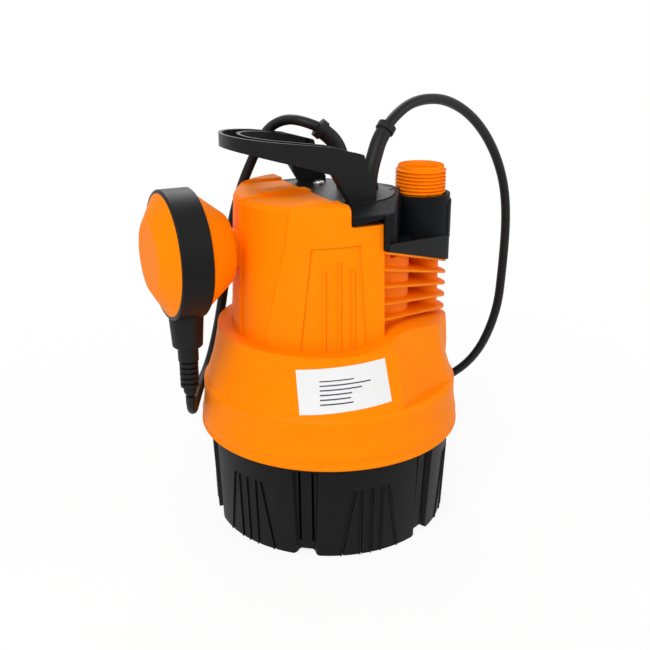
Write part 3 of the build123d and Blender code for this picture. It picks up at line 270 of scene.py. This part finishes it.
metalDefaults = {"stainShare": 0.5, "bump": 0.1, "ringDepth": 0.0001, "edge": 0.0002}


def machinedMetal(name, values):
    material, tree, shader = newMaterial(name)
    shader.inputs["Metallic"].default_value = 1.0
    metal = addNode(tree, "ShaderNodeGroup", node_tree=turnedMetal)
    metal.inputs["Colour"].default_value = colourOf(values["colour"])
    metal.inputs["Stain Colour"].default_value = colourOf(values["stain"])
    metal.inputs["Stain"].default_value = metalDefaults["stainShare"]
    metal.inputs["Ring Size"].default_value = values["rings"]
    metal.inputs["Smooth"].default_value = values["roughness"][0]
    metal.inputs["Rough"].default_value = values["roughness"][1]
    tree.links.new(metal.outputs["Colour"], shader.inputs["Base Color"])
    tree.links.new(metal.outputs["Roughness"], shader.inputs["Roughness"])
    joinBump(tree, shader, metal.outputs["Height"], values.get("bump", metalDefaults["bump"]),
             metalDefaults["ringDepth"], metalDefaults["edge"])
    return material


plasticValues = {
    "orangeShell": {
        "colour": "FF8700", "drift": "FF8000", "roughness": (0.42, 0.54), "bump": 0.08, "mark": "FF9A30",
        "markShare": 0.06, "edge": 0.0006,
    },
    "blackShell": {
        "colour": "101011", "drift": "151516", "roughness": (0.42, 0.55), "bump": 0.2, "grain": 1100.0,
        "mark": "2C2C2E", "markShare": 0.2,
    },
    "coverBlack": {
        "colour": "101113", "drift": "151618", "roughness": (0.5, 0.62), "bump": 0.12, "grain": 1300.0,
        "mark": "2C2F32", "markShare": 0.15,
    },
    "gripBlack": {
        "colour": "0A0A0B", "drift": "0F0F10", "roughness": (0.34, 0.46), "bump": 0.10, "grain": 1300.0,
        "mark": "262729", "markShare": 0.15,
    },
    "bandBlack": {
        "colour": "0C0C0D", "drift": "111112", "roughness": (0.36, 0.5), "bump": 0.14, "mark": "242426",
        "markShare": 0.15,
    },
    "sleeveRubber": {"colour": "101011", "drift": "161617", "roughness": (0.44, 0.56), "bump": 0.16, "grain": 1800.0},
    "cordRubber": {"colour": "101011", "drift": "161617", "roughness": (0.4, 0.52), "bump": 0.14, "grain": 2200.0},
    "tiePlastic": {"colour": "1C1C1D", "drift": "242425", "roughness": (0.35, 0.5), "bump": 0.2},
    "plugRubber": {"colour": "121213", "drift": "181819", "roughness": (0.46, 0.58), "bump": 0.2},
    "sealRubber": {"colour": "0E0E0F", "drift": "151516", "roughness": (0.6, 0.75), "bump": 0.2},
    "palePlastic": {"colour": "D9D6CC", "drift": "CBC7BB", "roughness": (0.4, 0.55), "bump": 0.12},
    "greyPlastic": {"colour": "5E6165", "drift": "6A6D71", "roughness": (0.45, 0.6), "bump": 0.2},
}
metalValues = {
    "zincSteel": {"colour": "D2D4D6", "stain": "AEB0B2", "roughness": (0.18, 0.34), "rings": 1400.0},
    "brightSteel": {"colour": "D8D9DA", "stain": "B4B5B6", "roughness": (0.16, 0.3), "rings": 1600.0},
    "castAluminium": {"colour": "B9BBBD", "stain": "8F9193", "roughness": (0.42, 0.62), "rings": 700.0, "bump": 0.25},
    "laminatedSteel": {"colour": "6E6F72", "stain": "53473D", "roughness": (0.4, 0.6), "rings": 1800.0, "bump": 0.3},
    "woundCopper": {"colour": "B45F34", "stain": "7E3516", "roughness": (0.28, 0.42), "rings": 2400.0, "bump": 0.5},
}

specularLevels = {
    "orangeShell": 0.05, "blackShell": 0.12, "coverBlack": 0.08, "gripBlack": 0.2, "bandBlack": 0.15,
    "sleeveRubber": 0.2, "cordRubber": 0.2, "plugRubber": 0.2, "sealRubber": 0.2,
}
finishes = {}
for finishName, finishValues in plasticValues.items():
    settings = {"Specular_IOR_Level": specularLevels[finishName]} if finishName in specularLevels else {}
    finishes[finishName] = mouldedPlastic(finishName, finishValues, **settings)
for finishName, finishValues in metalValues.items():
    finishes[finishName] = machinedMetal(finishName, finishValues)

finishOf = {
    "strainer_base": "blackShell", "base_screws": "zincSteel", "base_seal_ring": "sealRubber",
    "outer_housing": "orangeShell", "riser_pipe": "orangeShell", "top_cover": "coverBlack", "carry_handle": "gripBlack",
    "cover_screws": "zincSteel", "power_cable_sleeve": "sleeveRubber", "float_cable_sleeve": "sleeveRubber",
    "power_cord": "cordRubber", "float_cable": "cordRubber", "cord_coil": "cordRubber", "coil_ties": "tiePlastic",
    "mains_plug": "plugRubber", "float_shell_outer": "orangeShell", "float_shell_inner": "orangeShell",
    "float_band": "bandBlack", "float_relief": "sleeveRubber", "float_microswitch": "greyPlastic",
    "float_lever": "brightSteel", "float_ball_cage": "palePlastic", "float_ball": "brightSteel",
    "suction_plate": "blackShell", "pump_chamber": "blackShell", "impeller": "palePlastic",
    "impeller_nut": "brightSteel",
    "oil_chamber": "castAluminium", "shaft_seal": "sealRubber", "lower_bracket": "castAluminium",
    "lower_bearing": "brightSteel", "upper_bracket": "castAluminium", "upper_bearing": "brightSteel",
    "motor_can": "zincSteel", "stator_core": "laminatedSteel", "stator_windings": "woundCopper",
    "motor_shaft": "brightSteel", "rotor_core": "laminatedSteel", "capacitor": "palePlastic",
    "terminal_block": "greyPlastic", "rating_label": "printedSheet",
}


def dressNode(name, material):
    mesh = nodes[name].data
    if len(mesh.materials) == 0:
        mesh.materials.append(material)
    for index in range(len(mesh.materials)):
        mesh.materials[index] = material


# Rating label: a pale sheet with plain ruled rows, no writing
labelValues = {
    "sheet": "E4E4E4",
    "ink": "3A3D42",
    "side": -20.0,      # degrees, the way the rows run
    "slope": 0.075,
    "rowPitch": 0.0027,
    "rowShare": 0.3,
    "left": -0.0135,
    "right": 0.0185,
    "low": 0.1045,
    "high": 0.1195,
}


def rowMask(tree, across, height, values):
    # Rows of different length between the sheet's margins.
    turn = mathNode(tree, "DIVIDE", height, values["rowPitch"])
    inRow = mathNode(tree, "LESS_THAN", mathNode(tree, "FRACT", turn), values["rowShare"])
    rowNumber = mathNode(tree, "FLOOR", turn)
    chance = addNode(tree, "ShaderNodeTexWhiteNoise", noise_dimensions="1D")
    tree.links.new(rowNumber, chance.inputs["W"])
    span = (values["right"] - values["left"]) * 0.5
    length = mathNode(tree, "MULTIPLY_ADD", chance.outputs[0], span)
    length.node.inputs[2].default_value = values["left"] + span
    ended = mathNode(tree, "LESS_THAN", across, length)
    started = mathNode(tree, "GREATER_THAN", across, values["left"])
    above = mathNode(tree, "GREATER_THAN", height, values["low"])
    below = mathNode(tree, "LESS_THAN", height, values["high"])
    mask = inRow
    for part in (ended, started, above, below):
        mask = mathNode(tree, "MULTIPLY", mask, part)
    return mask


def printedSheet(name, values):
    material, tree, shader = newMaterial(name, Roughness=0.35, Specular_IOR_Level=0.3)
    place = addNode(tree, "ShaderNodeTexCoord")
    parts = addNode(tree, "ShaderNodeSeparateXYZ")
    tree.links.new(place.outputs["Object"], parts.inputs[0])
    turn = math.radians(values["side"])
    across = mathNode(tree, "ADD", mathNode(tree, "MULTIPLY", parts.outputs[0], math.cos(turn)),
                      mathNode(tree, "MULTIPLY", parts.outputs[1], math.sin(turn)))
    height = mathNode(tree, "SUBTRACT", parts.outputs[2], mathNode(tree, "MULTIPLY", across, values["slope"]))
    mask = rowMask(tree, across, height, values)
    sheet = blendColour(tree, mask, colourOf(values["sheet"]), colourOf(values["ink"]))
    tree.links.new(sheet, shader.inputs["Base Color"])
    return material


finishes["printedSheet"] = printedSheet("printedSheet", labelValues)

for nodeName, finishName in finishOf.items():
    dressNode(nodeName, finishes[finishName])
missed = sorted(set(nodes) - set(finishOf))
if missed:
    raise ValueError("no finish for " + ", ".join(missed))
print("finishes given to", len(finishOf), "parts")


sharpEdge = 40.0   # degrees between faces that keep a hard edge


# Cords
def newObject(name, data, body):
    piece = bpy.data.objects.new(name, data)
    bpy.context.scene.collection.objects.link(piece)
    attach(piece, body)
    return piece


def cordCurve(name, route, diameter, material, body):
    curve = bpy.data.curves.new(name, "CURVE")
    curve.dimensions = "3D"
    curve.bevel_depth = diameter / 2.0
    curve.bevel_resolution = 5
    curve.resolution_u = 6
    curve.use_fill_caps = True
    spline = curve.splines.new("NURBS")
    spline.points.add(len(route) - 1)
    for point, place in zip(spline.points, route):
        point.co = (place[0], place[1], place[2], 1.0)
    spline.order_u = 3
    spline.use_endpoint_u = True
    curve.materials.append(material)
    return newObject(name, curve, body)


powerCordValues = {
    "diameter": 0.007,
    "length": 10.0,
    "coilCentre": (0.075, 0.156),
    "turnRadii": (0.075, 0.068, 0.061, 0.054, 0.047),
    "layers": 5,
    "firstHeight": 0.0036,
    "layerStep": 0.0074,
    "pointsPerTurn": 16,
    "startAngle": 6.0,    # degrees
    "stepFrom": 3.5,      # points before a turn's end where it starts to step to the next place
    "stepOver": 3.0,
    "lastRise": 1.1,
}
floatCableValues = {"diameter": 0.0065, "length": 0.29}
powerRoute = [
    (0.0444, 0.0058, 0.2534), (0.0565, 0.0100, 0.2632), (0.0779, 0.0178, 0.2678), (0.1042, 0.0274, 0.2648),
    (0.1324, 0.0376, 0.2510), (0.1572, 0.0468, 0.2280), (0.1746, 0.0530, 0.1990), (0.1812, 0.0554, 0.1680),
    (0.1806, 0.0556, 0.1280), (0.1800, 0.0580, 0.0900), (0.1755, 0.0760, 0.0460), (0.1650, 0.1080, 0.0140),
    (0.1530, 0.1330, 0.0040),
]
floatRoute = [
    (-0.0027, 0.0106, 0.2546), (-0.0110, 0.0140, 0.2584), (-0.0176, 0.0285, 0.2584), (-0.0230, 0.0450, 0.2505),
    (-0.0295, 0.0510, 0.2340), (-0.0379, 0.0532, 0.2150), (-0.0444, 0.0548, 0.1940), (-0.0490, 0.0550, 0.1700),
    (-0.0524, 0.0560, 0.1460), (-0.0550, 0.0596, 0.1240), (-0.0580, 0.0640, 0.1040), (-0.0636, 0.0634, 0.0870),
    (-0.0780, 0.0410, 0.0818), (-0.0890, 0.0190, 0.0796), (-0.0964, 0.0014, 0.0818), (-0.0970, 0.0000, 0.0943),
]


def coilPoints(values):
    # Each turn keeps its place for most of the way round and steps to the next place at the same spot.
    places = []
    for layer in range(values["layers"]):
        radii = values["turnRadii"] if layer % 2 == 0 else tuple(reversed(values["turnRadii"]))
        for radius in radii:
            places.append((radius, values["firstHeight"] + layer * values["layerStep"]))
    places.pop()
    count = values["pointsPerTurn"]
    outward = 1.0 / math.cos(math.pi / count)
    points = []
    for turn, (radius, height) in enumerate(places):
        last = (radius, height + values["layerStep"] * values["lastRise"])
        after = places[turn + 1] if turn + 1 < len(places) else last
        for step in range(count):
            angle = 2.0 * math.pi * step / count + math.radians(values["startAngle"])
            share = min(1.0, max(0.0, (step - count + values["stepFrom"]) / values["stepOver"]))
            reach = (radius + (after[0] - radius) * share) * outward
            points.append((values["coilCentre"][0] + reach * math.cos(angle),
                           values["coilCentre"][1] + reach * math.sin(angle),
                           height + (after[1] - height) * share))
    return points


coilRoute = coilPoints(powerCordValues)
# The last turn lies on the others and runs into the plug's tail
topRadii = (0.0551, 0.0551, 0.0558, 0.0566, 0.0575, 0.0585, 0.0596, 0.0608, 0.0622, 0.0635)
topHeights = (0.0416, 0.0416, 0.0418, 0.0422, 0.0416, 0.0410, 0.0408, 0.0408, 0.0410, 0.0418)
topStartAngle, topStepAngle = 16.6, 26.5
topRoute = []
for step, (radius, height) in enumerate(zip(topRadii, topHeights)):
    angle = math.radians(topStartAngle + topStepAngle * step)
    topRoute.append((powerCordValues["coilCentre"][0] + radius * math.cos(angle),
                     powerCordValues["coilCentre"][1] + radius * math.sin(angle), height))
topRoute += [
    (0.0750, 0.0925, 0.0423), (0.0900, 0.0890, 0.0416), (0.1040, 0.0885, 0.0410), (0.1170, 0.0930, 0.0409),
    (0.1260, 0.1025, 0.0407), (0.1290, 0.1120, 0.0407), (0.1290, 0.1180, 0.0418),
]

# Mains plug on top of the coil: turned body with a waisted grip and a ribbed tail, two round pins
plugValues = {
    "face": (0.1290, 0.1710, 0.0540),
    "lean": 12.92,
    "body": ((0.0, 0.0), (0.0, 0.0158), (-0.0004, 0.0168), (-0.0014, 0.0175), (-0.0050, 0.0174), (-0.0075, 0.0166),
             (-0.0110, 0.0148), (-0.0160, 0.0139), (-0.0220, 0.0136), (-0.0270, 0.0130), (-0.0310, 0.0119),
             (-0.0350, 0.0103), (-0.0374, 0.0091), (-0.0384, 0.0074), (-0.0388, 0.0056)),
    "ribs": 6,
    "ribShare": (0.35, 0.45, 0.9),   # neck's end, rib's start and rib's end in one pitch
    "ribRadius": 0.0046,
    "neckRadius": 0.0040,
    "tailEnd": -0.0580,
    "pinReach": 0.0190,
    "pinRadius": 0.0024,
    "pinSpacing": 0.0190,
    "pinSunk": 0.001,
    "pinTip": (0.0012, 0.0003, 0.7),   # where the tip starts and flattens, and its share of the radius
}


def turnedMesh(name, profile, base, material, segments=40):
    # A profile of distance along the axis and radius, turned about the base matrix's Z.
    rings, faces, points = [], [], []
    for distance, radius in profile:
        if radius < 1e-6:
            rings.append([len(points)])
            points.append(base @ Vector((0.0, 0.0, distance)))
            continue
        ring = []
        for index in range(segments):
            angle = 2.0 * math.pi * index / segments
            ring.append(len(points))
            points.append(base @ Vector((radius * math.cos(angle), radius * math.sin(angle), distance)))
        rings.append(ring)
    for low, high in zip(rings, rings[1:]):
        for index in range(segments):
            after = (index + 1) % segments
            if len(low) == 1:
                faces.append((low[0], high[index], high[after]))
            elif len(high) == 1:
                faces.append((low[index], high[0], low[after]))
            else:
                faces.append((low[index], high[index], high[after], low[after]))
    mesh = bpy.data.meshes.new(name)
    mesh.from_pydata(points, [], faces)
    mesh.materials.append(material)
    build = bmesh.new()
    build.from_mesh(mesh)
    bmesh.ops.recalc_face_normals(build, faces=build.faces)
    build.to_mesh(mesh)
    build.free()
    mesh.shade_smooth()
    mesh.set_sharp_from_angle(angle=math.radians(sharpEdge))
    return mesh


def plugProfile(values):
    profile = list(values["body"])
    start, end = profile[-1][0], values["tailEnd"]
    pitch = (end - start) / values["ribs"]
    for index in range(values["ribs"]):
        low = start + pitch * index
        neckEnd, ribStart, ribEnd = (low + pitch * share for share in values["ribShare"])
        profile += [(low, values["neckRadius"]), (neckEnd, values["neckRadius"]),
                    (ribStart, values["ribRadius"]), (ribEnd, values["ribRadius"])]
    profile += [(end, values["neckRadius"]), (end, 0.0)]
    return profile


def joinMeshes(name, meshes):
    build = bmesh.new()
    for mesh in meshes:
        build.from_mesh(mesh)
    joined = bpy.data.meshes.new(name)
    build.to_mesh(joined)
    build.free()
    return joined


def addPlug(values):
    base = Matrix.Translation(values["face"]) @ Matrix.Rotation(math.radians(values["lean"] - 90.0), 4, "X")
    body = turnedMesh("plugBody", plugProfile(values), base, finishes["plugRubber"])
    piece = newObject("plugBody", body, "pump")
    reach, radius = values["pinReach"], values["pinRadius"]
    tipStart, tipEnd, tipShare = values["pinTip"]
    pinShape = ((-values["pinSunk"], 0.0), (-values["pinSunk"], radius), (reach - tipStart, radius),
                (reach - tipEnd, radius * tipShare), (reach, 0.0))
    pinMeshes = []
    for side in (-1.0, 1.0):
        place = base @ Matrix.Translation((side * values["pinSpacing"] / 2.0, 0.0, 0.0))
        pinMeshes.append(turnedMesh("plugPin", pinShape, place, finishes["brightSteel"], segments=20))
    pins = joinMeshes("plugPins", pinMeshes)
    pins.materials.append(finishes["brightSteel"])
    pins.shade_smooth()
    pins.set_sharp_from_angle(angle=math.radians(sharpEdge))
    pinPiece = newObject("plugPins", pins, "pump")
    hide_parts("mains_plug")
    return piece, pinPiece


plugPiece, pinPiece = addPlug(plugValues)
print("plug turned")
powerCord = cordCurve("powerCord", powerRoute + coilRoute + topRoute, powerCordValues["diameter"],
                      finishes["cordRubber"], "pump")
floatCable = cordCurve("floatCable", floatRoute, floatCableValues["diameter"], finishes["cordRubber"], "pump")
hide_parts("power_cord", "cord_coil")
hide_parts("float_cable")
print("cords laid")


# Floor, light and background
lampValues = {
    "keyLamp": {"place": (-0.75, -0.75, 1.05), "target": (0.0, 0.0, 0.12), "size": 0.9, "power": 13.5},
    "fillLamp": {"place": (0.95, -0.75, 0.6), "target": (0.0, 0.0, 0.12), "size": 0.8, "power": 4.0},
    "backLamp": {"place": (0.3, 1.0, 1.1), "target": (0.0, 0.0, 0.15), "size": 0.9, "power": 7.0},
}
stageValues = {
    "floorSize": 6.0,
    "floorKeep": 0.14,
    "floorReach": 0.55,
    "floorDrop": -0.0003,
    "worldStrength": 0.38,
}


def pathWhite(tree, plain, keep, reach):
    # Camera, glossy and transmission rays see plain white; what is left of the plain shader near the part keeps
    # the shadow and fades out with the distance.
    path = addNode(tree, "ShaderNodeLightPath")
    place = addNode(tree, "ShaderNodeTexCoord")
    away = addNode(tree, "ShaderNodeVectorMath", operation="LENGTH")
    tree.links.new(place.outputs["Object"], away.inputs[0])
    near = mathNode(tree, "SUBTRACT", 1.0, mathNode(tree, "DIVIDE", away.outputs["Value"], reach), clamp=True)
    kept = mathNode(tree, "MULTIPLY", near, keep)
    seen = mathNode(tree, "MAXIMUM", path.outputs["Is Glossy Ray"], path.outputs["Is Transmission Ray"])
    shown = mathNode(tree, "MULTIPLY", path.outputs["Is Camera Ray"], mathNode(tree, "SUBTRACT", 1.0, kept))
    seen = mathNode(tree, "MAXIMUM", seen, shown)
    white = addNode(tree, "ShaderNodeEmission")
    white.inputs["Strength"].default_value = 1.0
    mix = addNode(tree, "ShaderNodeMixShader")
    tree.links.new(seen, mix.inputs[0])
    tree.links.new(plain, mix.inputs[1])
    tree.links.new(white.outputs[0], mix.inputs[2])
    return mix.outputs[0]


def addFloor(values):
    mesh = bpy.data.meshes.new("floor")
    build = bmesh.new()
    bmesh.ops.create_grid(build, x_segments=8, y_segments=8, size=values["floorSize"] / 2.0)
    build.to_mesh(mesh)
    build.free()
    floor = bpy.data.objects.new("floor", mesh)
    floor.location = (0.0, 0.0, values["floorDrop"])
    bpy.context.scene.collection.objects.link(floor)
    material, tree, shader = newMaterial("studioFloor", Roughness=0.9, Specular_IOR_Level=0.0)
    shader.inputs["Base Color"].default_value = (0.9, 0.9, 0.9, 1.0)
    shown = pathWhite(tree, shader.outputs[0], values["floorKeep"], values["floorReach"])
    tree.links.new(shown, tree.nodes["Material Output"].inputs["Surface"])
    mesh.materials.append(material)
    return floor


def addWorld(values):
    world = bpy.data.worlds.new("studio")
    bpy.context.scene.world = world
    world.use_nodes = True
    tree = world.node_tree
    plain = tree.nodes["Background"]
    plain.inputs["Color"].default_value = (1.0, 1.0, 1.0, 1.0)
    plain.inputs["Strength"].default_value = values["worldStrength"]
    path = addNode(tree, "ShaderNodeLightPath")
    seen = mathNode(tree, "MAXIMUM", path.outputs["Is Camera Ray"], path.outputs["Is Glossy Ray"])
    seen = mathNode(tree, "MAXIMUM", seen, path.outputs["Is Transmission Ray"])
    white = addNode(tree, "ShaderNodeBackground")
    white.inputs["Color"].default_value = (1.0, 1.0, 1.0, 1.0)
    white.inputs["Strength"].default_value = 1.0
    mix = addNode(tree, "ShaderNodeMixShader")
    tree.links.new(seen, mix.inputs[0])
    tree.links.new(plain.outputs[0], mix.inputs[1])
    tree.links.new(white.outputs[0], mix.inputs[2])
    tree.links.new(mix.outputs[0], tree.nodes["World Output"].inputs["Surface"])


def addLamp(name, values):
    data = bpy.data.lights.new(name, "AREA")
    data.shape = "DISK"
    data.size = values["size"]
    data.energy = values["power"]
    lamp = bpy.data.objects.new(name, data)
    lamp.location = values["place"]
    aim = Vector(values["target"]) - Vector(values["place"])
    lamp.rotation_euler = aim.to_track_quat("-Z", "Y").to_euler()
    bpy.context.scene.collection.objects.link(lamp)


addFloor(stageValues)
addWorld(stageValues)
for lampName, values in lampValues.items():
    addLamp(lampName, values)
bpy.context.scene.view_settings.view_transform = "Standard"
print("stage set")
